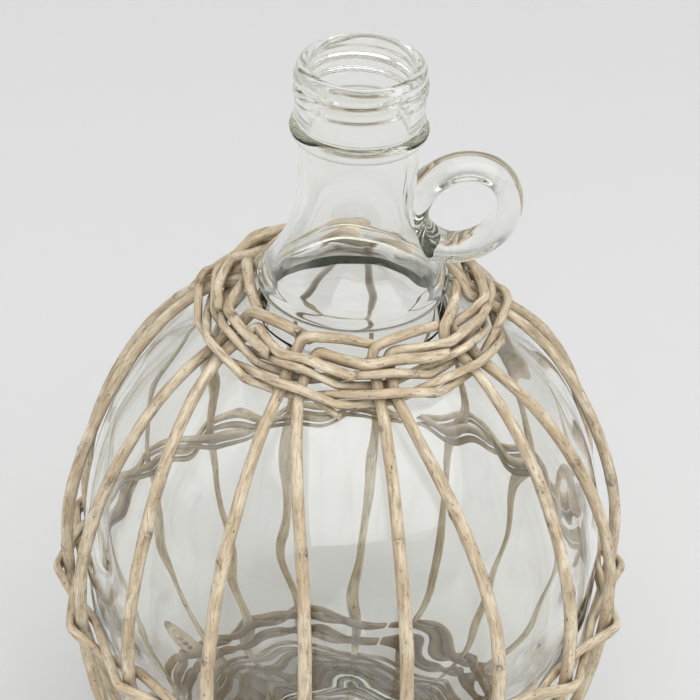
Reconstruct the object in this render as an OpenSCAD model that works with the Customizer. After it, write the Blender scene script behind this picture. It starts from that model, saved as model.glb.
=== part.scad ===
// Glass demijohn with a finger ring, standing in an open cage of peeled willow rods.
// The frame's origin is the middle of the basket floor's underside, +Z is up and the finger ring points to +X.

/* [Glass body] */
// Height of the glass from its foot to the rim
bottle_h = 258; // [235:1:285]
// Outer radius at the widest level
body_r = 78; // [72:1:84]
// Rise of the shoulder's ellipse above the widest level
shoulder_h = 86; // [76:1:96]
// Drop of the belly's ellipse below the widest level, as a share of that level's height above the foot
belly_share = 1.246; // [1.22:0.001:1.28]
// Angle on the belly's ellipse where the heel begins
heel_angle = 48; // [44:1:50]
// Thickness of the glass in the body
body_wall = 3; // [2:0.1:4]
// Thickness of the glass at the foot
foot_wall = 5; // [3:0.5:7]
// Height of the push-up in the glass foot
punt_h = 9; // [4:1:14]

/* [Neck and mouth] */
// Bore of the mouth and the upper neck
mouth_d = 28.4; // [26:0.1:29.5]
// Outer diameter of the lip and of the finish that the thread stands on
finish_d = 35.2; // [34:0.1:36]
// Diameter over the screw thread
thread_d = 37.5; // [37:0.1:38.5]
// Climb of the thread in one turn
thread_pitch = 4.4; // [3.8:0.1:5]
// Clear space between two half turns of the thread at a mould seam
seam_gap = 2; // [1:0.5:4]
// Depth of the thread's lower end below the rim
thread_depth = 10.8; // [10:0.1:12]
// Outer diameter of the bead under the finish
bead_d = 39; // [38:0.5:41]
// Height of the bead
bead_h = 5; // [4.5:0.1:6]
// Depth of the bead's middle below the rim
bead_depth = 19.9; // [19:0.1:21]
// Outer diameter of the neck at its narrowest
neck_d = 33.8; // [33:0.1:34.5]
// Depth below the rim where the neck begins to flare
flare_depth = 38; // [34:1:42]
// Outer diameter of the rounded neck foot
neck_foot_d = 55; // [53:0.5:56]
// Depth of the neck foot's widest level below the rim
neck_foot_depth = 69; // [67:0.5:73]
// Height of the neck foot's widest level above the end of the shoulder
neck_rise = 9.8; // [9:0.1:11]
// Radius of the neck foot's rounding
neck_foot_round = 3.4; // [2.5:0.1:4]
// Thickness of the glass in the flare
flare_wall = 3; // [2.5:0.1:3.5]
// Width of the flat on top of the lip
lip_flat = 0.6; // [0.4:0.1:1]

/* [Finger ring] */
// Length of the oval ring over its glass
ring_len = 36.6; // [34:0.1:38]
// The ring's short side as a share of its length
ring_oval_share = 0.85; // [0.8:0.01:1]
// Slope of the ring's long side
ring_slope = 44; // [30:1:60]
// Thickness of the ring's glass in its own plane
ring_thick = 7.6; // [6:0.1:8]
// Width of the ring's glass across its plane
ring_width = 10.4; // [9:0.1:12]
// Distance of the ring's middle from the bottle's axis
ring_reach = 29.7; // [28:0.1:31]
// Depth of the ring's middle below the rim
ring_depth = 44.9; // [43:0.1:46]

/* [Stakes] */
// Number of stake pairs round the bottle
pairs = 9; // [8:1:10]
// Diameter of a stake below the collar
stake_d = 3.7; // [3.4:0.1:4]
// Diameter to which a stake tapers in the border
tip_d = 3; // [2.6:0.1:3.2]
// Diameter at the cut end of a border rod
end_d = 2.4; // [2:0.1:2.8]
// Clear space between rods that lie against each other
rod_gap = 0.3; // [0.25:0.01:0.35]
// Distance between the two stakes of a pair at the collar
pair_space = 4.7; // [4.5:0.1:5.2]
// How far the stakes sink towards the glass between the collar and the belly band
stake_settle = 2.2; // [0:0.1:2.5]
// Turn of the cage from the belly to the collar
cage_twist = 8; // [0:1:10]
// Inner radius of the stakes' ends in the floor
floor_hole_r = 19; // [18:0.5:22]

/* [Weavers] */
// Diameter of the collar and floor weavers
weaver_d = 2.6; // [2.2:0.1:2.8]
// Diameter of the belly band's thick rods
band_d = 3.4; // [2.8:0.1:3.8]
// Diameter of the belly band's thin rods
band_thin_d = 2.4; // [1.8:0.1:2.8]
// Drop of the belly band below the widest level
band_drop = 16.4; // [8:0.1:24]
// Way up the glass from the heel's edge to the lowest heel row
heel_reach = 2.5; // [2:0.1:6]
// Way down the glass from the neck foot to the collar's lowest row
collar_reach = 15; // [14:0.1:17]
// Length of the loose tail under the collar
tail_len = 10; // [8:1:14]
// Diameter of the loose tail
tail_d = 2; // [1.6:0.1:2.4]
// Diameter of the short sticks in the middle of the floor
stick_d = 4; // [3:0.1:4.2]
// How much of the lowest rods is worn flat where the floor stands
floor_flat = 0.4; // [0.2:0.1:0.6]

/* [Hidden] */
$fn = 96;

// How far a cut runs past the surface that it opens
cut_over = 1;
// Steps of an outline along the body's ellipses, and of its small arcs
ellipse_steps = 28;
arc_steps = 6;
// The push-up's share of the flat foot, the thread's rounding against its height and the tail's slant
punt_share = 0.78;
thread_round_share = 1.1;
tail_turn_share = 0.8;
// The tail's place between the first two pairs
tail_place_share = 0.22;
// Sides of a stake's section and of a weaver's
stake_sides = 8;
weaver_sides = 6;

// Heights: the floor's two layers of weaver with the stakes between them carry the glass
floor_h = 2 * weaver_d + stake_d + 3 * rod_gap - floor_flat;
rim_z = floor_h + bottle_h;
foot_u = acos(neck_foot_d / 2 / body_r);
widest_h = bottle_h - neck_foot_depth - neck_rise - shoulder_h * sin(foot_u);
widest_z = floor_h + widest_h;
belly_h = widest_h * belly_share;
bead_z = rim_z - bead_depth;
flare_z = rim_z - flare_depth;
foot_z = rim_z - neck_foot_depth;

// Distances of a rod's middle from the glass: inside the stakes, at the stakes and outside them
stake_r = stake_d / 2;
weaver_r = weaver_d / 2;
tip_r = tip_d / 2;
function inside_off(r) = rod_gap + r;
stake_off = weaver_d + 2 * rod_gap + stake_r;
function outside_off(r, off) = off + stake_r + rod_gap + r;
band_off = band_d + 2 * rod_gap + stake_r;

// The glass body's outline in degrees u: the shoulder's ellipse above 0, the belly's ellipse below it,
// then the heel's arc down to floor_u, then the flat foot, where one degree stands for one unit of length
function rise(u) = u > 0 ? shoulder_h : belly_h;
function ellipse_out(u) = let (n = [cos(u) / body_r, sin(u) / rise(u)]) n / norm(n);
function ellipse_at(u, inset = 0) = [(body_r - inset) * cos(u), widest_z + (rise(u) - inset) * sin(u)];
heel_turn = atan2(ellipse_out(-heel_angle).y, ellipse_out(-heel_angle).x);
heel_r = (ellipse_at(-heel_angle).y - floor_h) / (1 + sin(heel_turn));
heel_mid = [ellipse_at(-heel_angle).x - heel_r * cos(heel_turn), floor_h + heel_r];
floor_u = -heel_angle - heel_turn - 90;
function heel_bearing(u) = max(-90, heel_turn + u + heel_angle);
function skin_out(u) = u >= -heel_angle ? ellipse_out(u) : [cos(heel_bearing(u)), sin(heel_bearing(u))];
function skin_at(u) = u >= -heel_angle ? ellipse_at(u)
    : heel_mid + heel_r * skin_out(u) + [min(0, u - floor_u), 0];
function skin_off(u, off) = skin_at(u) + off * skin_out(u);
// Length of the outline in one degree of u
function skin_rate(u) = norm([body_r * sin(u), rise(u) * cos(u)]) * PI / 180;

// A bearing of 0 faces -Y and turns towards +X
function around(bearing, place) = [place.x * sin(bearing), -place.x * cos(bearing), place.y];

// Levels of the woven rows
pitch = 360 / pairs;
row_pitch = 2 * (weaver_d + rod_gap);
collar_u = foot_u - collar_reach / skin_rate(foot_u);
collar_rate = skin_rate(collar_u);
function collar_level(rows) = collar_u + rows * row_pitch / collar_rate;
band_u = asin(-band_drop / belly_h);
band_rate = skin_rate(band_u);
heel_u = -heel_angle + heel_reach / skin_rate(-heel_angle);
heel_rate = skin_rate(heel_u);
heel_top_u = heel_u + row_pitch / heel_rate;

// Bearings of the pairs: even at the belly, turned back and a little uneven at the collar
first_bearing = -16;
pair_shift_shares = [0.06, -0.04, -0.01, 0.07, 0.1, 0.1, 0.07, 0, 0.12];
function belly_bearing(p) = first_bearing + p * pitch;
function collar_bearing(p) = belly_bearing(p) - cage_twist
    + pitch * pair_shift_shares[(p + pairs) % pairs % len(pair_shift_shares)];
function collar_between(q) = let (p = floor(q)) lerp(collar_bearing(p), collar_bearing(p + 1), q - p);
function lerp(a, b, share) = a + (b - a) * share;
// Half the angle between the two stakes of a pair, at a distance r from the axis
function side_angle(r) = asin(pair_space / 2 / r);
collar_side = side_angle(skin_off(collar_u, stake_off).x);
// Bearing of a stake on the pair's left (-1) or right (1), up to the collar and above it
function stake_bearing(p, side, u) =
    let (share = pow(max(0, u) / collar_u, 2))
    u > collar_u ? collar_bearing(p) + side * side_angle(skin_off(u, stake_off).x)
    : lerp(belly_bearing(p), collar_bearing(p), share) + side * lerp(pitch / 4, collar_side, share);
// Distance of a stake from the glass: lifted over the rods in the collar, the belly band, the heel and the floor
function stake_lift(u) =
    u > collar_u ? stake_off
    : u > band_u ? lerp(stake_off, band_off, (collar_u - u) / (collar_u - band_u))
        - stake_settle * pow(sin(180 * (u - band_u) / (collar_u - band_u)), 2)
    : u > heel_top_u ? lerp(band_off, stake_off, (band_u - u) / (band_u - heel_top_u))
    : stake_off;

// A path point holds a place, the glass's outward direction there and the rod's radius
function path_point(bearing, u, off, r) =
    [around(bearing, skin_off(u, off)), around(bearing, skin_out(u)), r];
function unit(v) = v / norm(v);
// A rod: rings of so many sides along its path points, closed by flat ends
module rod(path, sides) {
    last = len(path) - 1;
    rings = [for (i = [0:last])
        let (along = unit(path[min(i + 1, last)][0] - path[max(i - 1, 0)][0]))
        let (across = unit(cross(along, path[i][1])))
        let (out = cross(across, along))
        for (k = [0:sides - 1])
            path[i][0] + path[i][2] * (cos(360 * k / sides) * out + sin(360 * k / sides) * across)];
    walls = [for (i = [0:last - 1]) for (k = [0:sides - 1])
        let (a = i * sides + k)
        let (b = i * sides + (k + 1) % sides)
        for (face = [[a, b, a + sides], [b, b + sides, a + sides]]) face];
    ends = [[for (k = [0:sides - 1]) sides - 1 - k], [for (k = [0:sides - 1]) last * sides + k]];
    polyhedron(rings, concat(walls, ends));
}

// Levels, in u, of a stake's rings from the middle of the floor to just above the collar's upper row
floor_end_share = 0.9;
heel_rings = 5;
belly_rings = 3;
shoulder_rings = 7;
band_turn = 2.5;
stake_levels = concat(
    [for (share = [0, floor_end_share]) floor_u - lerp(heel_mid.x - floor_hole_r, 0, share)],
    [for (i = [1:heel_rings]) lerp(floor_u, -heel_angle, (i - 0.5) / heel_rings)],
    [heel_u, heel_top_u],
    [for (i = [1:belly_rings - 1]) lerp(heel_top_u, band_u, i / belly_rings)],
    [for (turn = [-band_turn, band_turn]) band_u + turn],
    [for (i = [1:shoulder_rings]) lerp(band_u, collar_u, i / shoulder_rings)],
    [for (rows = [0.5, 1, 1.35]) collar_level(rows)]
);
function stake_path(p, side) = [for (u = stake_levels)
    path_point(stake_bearing(p, side, u), u, stake_lift(u), stake_r)];

// The low course: a right stake folds down to the right, passes outside the next pair and lies on past it.
// Each row holds the turn in pair spacings, the level in rows and how far out the rod lies:
// 1 at the stakes, 2 outside them
low_shares = [
    [0.1, 1.55, 1], [0.11, 1.8, 1], [0.15, 2.02, 1], [0.28, 2.08, 1.05], [0.5, 1.92, 1.3], [0.68, 1.72, 1.7],
    [0.83, 1.56, 2], [1, 1.5, 2], [1.15, 1.55, 2], [1.3, 1.6, 1.9], [1.42, 1.6, 1.8]
];
function low_path(p) = [for (i = [0:len(low_shares) - 1])
    let (row = low_shares[i])
    let (r = lerp(tip_r, end_d / 2, i / (len(low_shares) - 1)))
    path_point(
        collar_between(p + row[0]),
        collar_level(row[1]),
        lerp(stake_off, outside_off(tip_r, stake_off), row[2] - 1),
        r
    )];

// The ring course: a left stake rises over the last one's end, folds to the right along the neck foot
// and ends under the next one.
// Each row holds the turn in pair spacings, the level in rows, the share of the way from the stakes' line
// to the ring's line and the lift in rod thicknesses
ring_r = neck_foot_d / 2 + rod_gap + tip_r;
ring_z = widest_z + shoulder_h * sqrt(1 - pow(ring_r / body_r, 2)) + stake_off + tip_r;
ring_shares = [
    [-0.1, 1.7, 0, 0], [-0.1, 2.05, 0, 0.3], [-0.085, 2.3, 0.2, 0.9], [-0.02, 2.45, 0.75, 1.25],
    [0.1, 2.5, 1, 1.1], [0.25, 2.5, 1, 0.8], [0.42, 2.5, 1, 0.3], [0.56, 2.5, 1, 0], [0.7, 2.5, 1, 0],
    [0.84, 2.5, 1, 0]
];
function ring_path(p) = [for (i = [0:len(ring_shares) - 1])
    let (row = ring_shares[i])
    let (bearing = collar_between(p + row[0]))
    let (line = skin_off(collar_level(row[1]), stake_off))
    let (place = lerp(line, [ring_r, ring_z], row[2]) + [0, row[3] * (tip_d + rod_gap)])
    let (r = lerp(tip_r, end_d / 2, i / (len(ring_shares) - 1)))
    [around(bearing, place), around(bearing, skin_out(collar_u)), r]];

module stake(number) {
    p = floor(number / 2);
    right = number % 2 == 1;
    color("burlywood")
        rod(concat(stake_path(p, right ? 1 : -1), right ? low_path(p) : ring_path(p)), stake_sides);
}

// Twined rows: two strands turn about each other, so that each stake has one strand outside it and one inside.
// A strand passes outside at every second post q, and crosses the other one midway between posts.
end_share = 0.05;
function twine(bearing_of, posts, start, strand, steps, u, rate, off_in, off_out, sway, shift, hold, r) =
    let (marks = concat([end_share], [for (i = [1:posts * steps - 1]) i / steps], [posts - end_share]))
    [for (mark = marks)
        let (q = start + mark)
        let (turn = 180 * (q + strand))
        let (out_share = (1 + max(-1, min(1, hold * cos(turn)))) / 2)
        path_point(bearing_of(q), u + (shift - sway * sin(turn)) / rate, lerp(off_in, off_out, out_share), r)];
weaver_sway = (weaver_d + rod_gap) / 2;
// How flat a strand lies over its posts before it turns in: over a pair, and over one stake
pair_hold_share = 1.3;
stake_hold_share = 1.15;

// Collar: two rows of two strands round the pairs, with their ends at the back
collar_steps = 6;
module collar_weaver(number) {
    row = floor(number / 2);
    between = function (q) collar_between(q);
    color("tan")
        rod(
            twine(between, pairs, floor(pairs / 2) + 0.5, number % 2, collar_steps, collar_level(row), collar_rate,
                inside_off(weaver_r), outside_off(weaver_r, stake_off), weaver_sway, 0, pair_hold_share, weaver_r),
            weaver_sides
        );
}

// Belly band: each strand is a thick rod with a thin one under it
stake_steps = 4;
function stake_between(q) = first_bearing - pitch / 4 + q * pitch / 2;
band_r = band_d / 2;
band_thin_r = band_thin_d / 2;
band_sway = (band_d + band_thin_d + 3 * rod_gap) / 2;
module belly_weaver(number) {
    thin = number >= 2;
    r = thin ? band_thin_r : band_r;
    shift = thin ? -band_r - rod_gap : band_thin_r + rod_gap;
    between = function (q) stake_between(q);
    color("peru")
        rod(
            twine(between, 2 * pairs, pairs + 0.5, number % 2, stake_steps, band_u, band_rate,
                inside_off(r), outside_off(r, band_off), band_sway, shift, stake_hold_share, r),
            weaver_sides
        );
}

// Heel wall: two rows of two strands round the single stakes
module heel_weaver(number) {
    row = floor(number / 2);
    between = function (q) stake_between(q);
    color("tan")
        rod(
            twine(between, 2 * pairs, pairs + 0.5, number % 2, stake_steps, lerp(heel_u, heel_top_u, row), heel_rate,
                inside_off(weaver_r), outside_off(weaver_r, stake_off), weaver_sway, 0, stake_hold_share, weaver_r),
            weaver_sides
        );
}

// Floor: rounds of weaver over and under the stakes, from the hole in the middle up to the heel wall
round_pitch = weaver_d + rod_gap;
flat_rounds = floor((heel_mid.x - floor_hole_r - weaver_d) / round_pitch);
heel_step = round_pitch / (heel_r + inside_off(weaver_r)) * 180 / PI;
heel_rounds = floor((heel_u - weaver_d / heel_rate - floor_u) / heel_step);
round_levels = concat(
    [for (i = [flat_rounds:-1:1]) floor_u - i * round_pitch],
    [for (i = [0:heel_rounds - 1]) floor_u + i * heel_step]
);
module base_rounds(upper) {
    off = upper ? inside_off(weaver_r) : outside_off(weaver_r, stake_off);
    color("tan")
        difference() {
            for (u = round_levels)
                rotate_extrude()
                    translate(skin_off(u, off))
                        circle(weaver_r);
            translate([0, 0, -cut_over])
                cylinder(h = cut_over, r = body_r);
        }
}

// Cross of short sticks in the middle of the floor
stick_r = stick_d / 2;
stick_side = stick_d + rod_gap;
module base_sticks(upper) {
    z = floor_h - stake_off + (upper ? 1 : -1) * stick_side / 2;
    reach = floor_hole_r - rod_gap;
    color("peru")
        rotate([0, 0, upper ? 90 : 0])
            for (side = [-1:1])
                let (half = sqrt(reach * reach - pow(abs(side) * stick_side + stick_r, 2)))
                    translate([-half, side * stick_side, z])
                        rotate([0, 90, 0])
                            cylinder(h = 2 * half, r = stick_r);
}

// Loose tail: the end of a collar weaver, which leaves the lowest row and lies on the shoulder
tail_r = tail_d / 2;
tail_drop = weaver_r + tail_r;
tail_off = 2 * rod_gap + tail_r;
tail_start = around(collar_between(tail_place_share), skin_off(collar_u - tail_drop / collar_rate, tail_off));
tail_end = around(
    collar_between(tail_place_share) + atan(tail_len / skin_at(collar_u).x) * tail_turn_share,
    skin_off(collar_u - (tail_drop + tail_len / 2) / collar_rate, tail_off)
);
module collar_tail() {
    span = tail_end - tail_start;
    color("peru")
        translate(tail_start)
            rotate([0, acos(span.z / norm(span)), atan2(span.y, span.x)])
                cylinder(h = norm(span), r = tail_r);
}

// Glass: the outer outline is turned to a full solid, the finger ring and the thread join it,
// and the inner outline is then cut away
mouth_r = mouth_d / 2;
finish_r = finish_d / 2;
lip_r = (finish_r - mouth_r - lip_flat) / 2;
neck_foot_r = neck_foot_d / 2;
foot_arc_mid = [neck_foot_r - neck_foot_round, foot_z];
foot_join_angle = 50;
flare_power_share = 2.3;
flare_end = foot_arc_mid + neck_foot_round * [cos(foot_join_angle), sin(foot_join_angle)];
function arc(mid, r, from, to) =
    [for (i = [0:arc_steps]) let (a = lerp(from, to, i / arc_steps)) mid + r * [cos(a), sin(a)]];
// The flare from the neck foot up to the straight neck
flare_steps = 8;
function flare(end, top_r) = [for (i = [0:flare_steps])
    let (share = 1 - i / flare_steps)
    [lerp(top_r, end.x, pow(share, flare_power_share)), lerp(flare_z, end.y, share)]];
// The heel, the belly and the shoulder up to the neck foot
function wall_at(u) = u > 0 ? body_wall : lerp(body_wall, foot_wall, min(1, -u / heel_angle));
function body_outline(solid) = concat(
    [for (i = [0:arc_steps]) let (u = lerp(floor_u, -heel_angle, i / arc_steps)) skin_off(u, -solid * wall_at(u))],
    [for (i = [1:ellipse_steps])
        let (u = lerp(-heel_angle, foot_u, i / ellipse_steps)) skin_off(u, -solid * wall_at(u))]
);
bead_mid_x = (bead_d - bead_h) / 2;
bead_low_angle = asin((neck_d / 2 - bead_mid_x) / bead_h * 2) - 90;
bead_top_angle = 90 - asin((finish_r - bead_mid_x) / bead_h * 2);
foot_low_angle = -70;
// The push-up is a ball's cap with a small flat on top, and the glass over it is as thick as the foot
punt_r = heel_mid.x * punt_share;
punt_ball_r = (punt_r * punt_r + punt_h * punt_h) / 2 / punt_h;
punt_top_angle = 87;
function punt_arc(wall) = let (sunk = punt_ball_r - punt_h)
    concat(
        [[0, floor_h - sunk + (punt_ball_r + wall) * sin(punt_top_angle)]],
        arc([0, floor_h - sunk], punt_ball_r + wall, punt_top_angle, asin((sunk + wall) / (punt_ball_r + wall)))
    );
outer_outline = concat(
    punt_arc(0),
    body_outline(0),
    arc(foot_arc_mid, neck_foot_round, foot_low_angle, foot_join_angle),
    flare(flare_end, neck_d / 2),
    arc([bead_mid_x, bead_z], bead_h / 2, bead_low_angle, bead_top_angle),
    arc([finish_r - lip_r, rim_z - lip_r], lip_r, 0, 90),
    [[0, rim_z]]
);
inner_outline = concat(
    punt_arc(foot_wall),
    body_outline(1),
    flare(flare_end - [flare_wall, 0], mouth_r),
    arc([mouth_r + lip_r, rim_z - lip_r], lip_r, 180, 90),
    [[mouth_r + lip_r, rim_z + cut_over], [0, rim_z + cut_over]]
);
thread_r = (thread_d - finish_d) / 2 * thread_round_share;
thread_mid_r = thread_d / 2 - thread_r;
seam_turn = asin(seam_gap / 2 / thread_mid_r);
half_turns = 4;
// The thread runs in half turns, which stop short of the two mould seams
module half_thread(turn) {
    translate([0, 0, rim_z - thread_depth + (turn + 0.5) * thread_pitch / 2])
        rotate([0, asin(thread_pitch / 4 / thread_mid_r), 180 * turn])
            rotate([0, 0, seam_turn])
                rotate_extrude(angle = 180 - 2 * seam_turn)
                    translate([thread_mid_r, 0])
                        circle(thread_r);
}
module finger_ring() {
    side = (ring_width - ring_thick) / 2;
    translate([ring_reach, 0, rim_z - ring_depth])
        rotate([90, -ring_slope, 0])
            scale([1, ring_oval_share, 1])
                rotate_extrude()
                    translate([(ring_len - ring_thick) / 2, 0]) {
                        square([ring_thick, 2 * side], center = true);
                        for (end = [-1, 1])
                            translate([0, end * side])
                                circle(ring_thick / 2);
                    }
}
module glass_bottle() {
    color("lightcyan", 0.5)
        difference() {
            union() {
                rotate_extrude()
                    polygon(outer_outline);
                finger_ring();
                for (turn = [0:half_turns - 1])
                    half_thread(turn);
            }
            rotate_extrude()
                polygon(inner_outline);
        }
}

glass_bottle();
stake(0);  // stake_01
stake(1);  // stake_02
stake(2);  // stake_03
stake(3);  // stake_04
stake(4);  // stake_05
stake(5);  // stake_06
stake(6);  // stake_07
stake(7);  // stake_08
stake(8);  // stake_09
stake(9);  // stake_10
stake(10);  // stake_11
stake(11);  // stake_12
stake(12);  // stake_13
stake(13);  // stake_14
stake(14);  // stake_15
stake(15);  // stake_16
stake(16);  // stake_17
stake(17);  // stake_18
collar_weaver(0);  // collar_weaver_1
collar_weaver(1);  // collar_weaver_2
collar_weaver(2);  // collar_weaver_3
collar_weaver(3);  // collar_weaver_4
belly_weaver(0);  // belly_weaver_1
belly_weaver(1);  // belly_weaver_2
belly_weaver(2);  // belly_weaver_3
belly_weaver(3);  // belly_weaver_4
heel_weaver(0);  // heel_weaver_1
heel_weaver(1);  // heel_weaver_2
heel_weaver(2);  // heel_weaver_3
heel_weaver(3);  // heel_weaver_4
base_sticks(false);  // base_sticks_lower
base_sticks(true);  // base_sticks_upper
base_rounds(false);  // base_rounds_lower
base_rounds(true);  // base_rounds_upper
collar_tail();
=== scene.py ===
import math

import bpy
import numpy as np
from mathutils import Matrix, Vector


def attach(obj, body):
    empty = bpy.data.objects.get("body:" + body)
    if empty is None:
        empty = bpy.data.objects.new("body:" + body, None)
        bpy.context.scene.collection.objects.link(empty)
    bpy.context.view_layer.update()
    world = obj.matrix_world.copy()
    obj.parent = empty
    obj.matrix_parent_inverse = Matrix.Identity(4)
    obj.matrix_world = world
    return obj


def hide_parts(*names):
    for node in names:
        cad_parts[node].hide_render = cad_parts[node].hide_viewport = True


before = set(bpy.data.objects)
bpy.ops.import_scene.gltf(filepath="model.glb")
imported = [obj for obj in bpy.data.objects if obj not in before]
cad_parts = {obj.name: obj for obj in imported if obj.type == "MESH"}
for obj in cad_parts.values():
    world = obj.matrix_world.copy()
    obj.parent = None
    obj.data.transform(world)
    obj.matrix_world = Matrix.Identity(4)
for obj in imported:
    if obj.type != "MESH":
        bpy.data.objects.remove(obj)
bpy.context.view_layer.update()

deg = np.radians

# Camera: it stands in front of the bottle and looks down on its shoulder, as in the photograph.
# It is tipped a little, so the bottle leans to the right in the picture.
stand_side, stand_back, stand_up, look_down, tip = 0.00005, 0.67507, 0.63776, 34.6, 2.42
sensor, focal_px, picture_px = 36, 2813.2, 700
lens = bpy.data.cameras.new("product_lens")
lens.sensor_width = sensor
lens.lens = sensor * focal_px / picture_px
lens.clip_start = 0.01
lens.clip_end = 50
viewer = bpy.data.objects.new("product_camera", lens)
bpy.context.collection.objects.link(viewer)
ahead = Vector((0, math.cos(deg(look_down)), -math.sin(deg(look_down))))
side = Vector((1, 0, 0))
over = side.cross(ahead)
level_side = side * math.cos(deg(tip)) + over * math.sin(deg(tip))
level_over = over * math.cos(deg(tip)) - side * math.sin(deg(tip))
turned_view = Matrix((level_side, level_over, -ahead)).transposed().to_4x4()
viewer.matrix_world = Matrix.Translation((stand_side, -stand_back, stand_up)) @ turned_view
bpy.context.scene.camera = viewer

# Glass bottle: blown in a two-part mould from clear soda glass. It has a round belly on a pushed-up foot, a flared
# neck with a rounded foot of its own, a bead, a screw thread for a 38 mm cap and a finger ring fused to the neck.
# The walls are a little uneven, as they are in blown glass. Sizes are in millimetres.
mm = 0.001
floor_top, rim, widest = 9.4, 267.4, 108.12
body_r, shoulder_rise, belly_drop = 78.0, 86.0, 123.0
heel_angle, shoulder_angle = 48.0, 69.2
wall, foot_wall, punt_rise, punt_share = 3.0, 5.0, 9.0, 0.78
mouth_r, finish_r, neck_r, neck_flare = 14.2, 17.6, 16.9, 2.3
lip_inside, lip_outside, lip_straight = 1.4, 1.5, 1.6
bead_r, bead_section = 19.5, 2.5
neck_foot_r, neck_foot_round, neck_foot_low, neck_foot_top = 27.5, 3.4, -75, 50
# Depths under the rim: the finish's end, the bead's middle, the top and the end of the neck's straight part, the
# ends of the bore and the flare, and the middle of the neck foot's round.
finish_drop, bead_drop, straight_top, straight_drop = 17.1, 19.9, 23, 37
bore_drop, flare_drop, neck_foot_drop = 37.5, 38, 69


def ellipse_at(u, inset=0.0):
    rise = np.where(u > 0, shoulder_rise, belly_drop)
    return np.stack([(body_r - inset) * np.cos(deg(u)), widest + (rise - inset) * np.sin(deg(u))], -1)


def ellipse_out(u):
    rise = np.where(u > 0, shoulder_rise, belly_drop)
    n = np.stack([np.cos(deg(u)) / body_r, np.sin(deg(u)) / rise], -1)
    return n / np.linalg.norm(n, axis=-1, keepdims=True)


heel_start = ellipse_out(np.float64(-heel_angle))
heel_turn = math.degrees(math.atan2(heel_start[1], heel_start[0]))
heel_edge = ellipse_at(np.float64(-heel_angle))
heel_r = (heel_edge[1] - floor_top) / (1 + math.sin(deg(heel_turn)))
heel_mid = np.array([heel_edge[0] - heel_r * math.cos(deg(heel_turn)), floor_top + heel_r])
floor_u = -heel_angle - heel_turn - 90


def skin_out(u):
    """The glass's outward direction at level u: degrees along the shoulder, the belly, the heel and then the foot."""
    u = np.asarray(u, float)
    turn = np.maximum(-90, heel_turn + u + heel_angle)
    heel = np.stack([np.cos(deg(turn)), np.sin(deg(turn))], -1)
    return np.where((u >= -heel_angle)[..., None], ellipse_out(u), heel)


def skin_off(u, off=0.0):
    """Distance from the axis and height of a point that lies off the glass at level u."""
    u = np.asarray(u, float)
    heel = heel_mid + heel_r * skin_out(u)
    heel = heel + np.stack([np.minimum(0, u - floor_u), np.zeros_like(u)], -1)
    at = np.where((u >= -heel_angle)[..., None], ellipse_at(u), heel)
    return at + np.asarray(off, float)[..., None] * skin_out(u)


def arc(mid, r, start, end, steps):
    a = deg(np.linspace(start, end, steps + 1))
    return np.stack([mid[0] + r * np.cos(a), mid[1] + r * np.sin(a)], -1)


def flare(end, top_r, steps=40):
    share = np.linspace(1, 0, steps + 1)
    r = top_r + (end[0] - top_r) * share ** neck_flare
    return np.stack([r, rim - flare_drop + (end[1] - rim + flare_drop) * share], -1)


def outline(inside):
    """The bottle's outline from the axis under the foot to the lip, on its outer or its inner side."""
    punt_r = heel_mid[0] * punt_share
    punt_ball = (punt_r ** 2 + punt_rise ** 2) / 2 / punt_rise
    sunk = punt_ball - punt_rise
    gain = foot_wall if inside else 0.0
    last = math.degrees(math.asin((sunk + gain) / (punt_ball + gain)))
    punt = arc((0, floor_top - sunk), punt_ball + gain, 90, last, 24)
    u = np.linspace(-heel_angle, shoulder_angle, 150)
    u = np.concatenate([np.linspace(floor_u, -heel_angle, 30), u[1:]])
    inset = wall + (foot_wall - wall) * np.clip(-u / heel_angle, 0, 1)
    body = skin_off(u, -inset if inside else np.zeros_like(u))
    foot_mid = (neck_foot_r - neck_foot_round, rim - neck_foot_drop)
    foot_top = np.array([math.cos(deg(neck_foot_top)), math.sin(deg(neck_foot_top))])
    flare_end = np.array(foot_mid) + neck_foot_round * foot_top
    if inside:
        neck = flare(flare_end - [wall, 0], mouth_r)
        bore = np.stack([np.full(30, mouth_r), np.linspace(rim - bore_drop, rim - lip_straight, 30)], -1)
        lip = arc((mouth_r + lip_inside, rim - lip_inside), lip_inside, 180, 90, 10)
        return np.concatenate([punt, body, neck, bore, lip])
    bead_mid = (bead_r - bead_section, rim - bead_drop)
    low = math.degrees(math.asin((neck_r - bead_mid[0]) / bead_section)) - 90
    top = 90 - math.degrees(math.asin((finish_r - bead_mid[0]) / bead_section))
    straight = np.stack([np.full(8, neck_r), np.linspace(rim - straight_drop, rim - straight_top, 8)], -1)
    finish = np.stack([np.full(150, finish_r), np.linspace(rim - finish_drop, rim - lip_straight, 150)], -1)
    lip = arc((finish_r - lip_outside, rim - lip_outside), lip_outside, 0, 90, 12)
    return np.concatenate([
        punt, body, arc(foot_mid, neck_foot_round, neck_foot_low, neck_foot_top, 24), flare(flare_end, neck_r),
        straight, arc(bead_mid, bead_section, low, top, 26), finish, lip,
    ])


def mesh_piece(name, verts, faces):
    made = bpy.data.meshes.new(name)
    made.from_pydata((np.asarray(verts) * mm).tolist(), [], faces)
    made.polygons.foreach_set("use_smooth", [True] * len(made.polygons))
    piece = bpy.data.objects.new(name, made)
    bpy.context.collection.objects.link(piece)
    return piece


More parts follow.
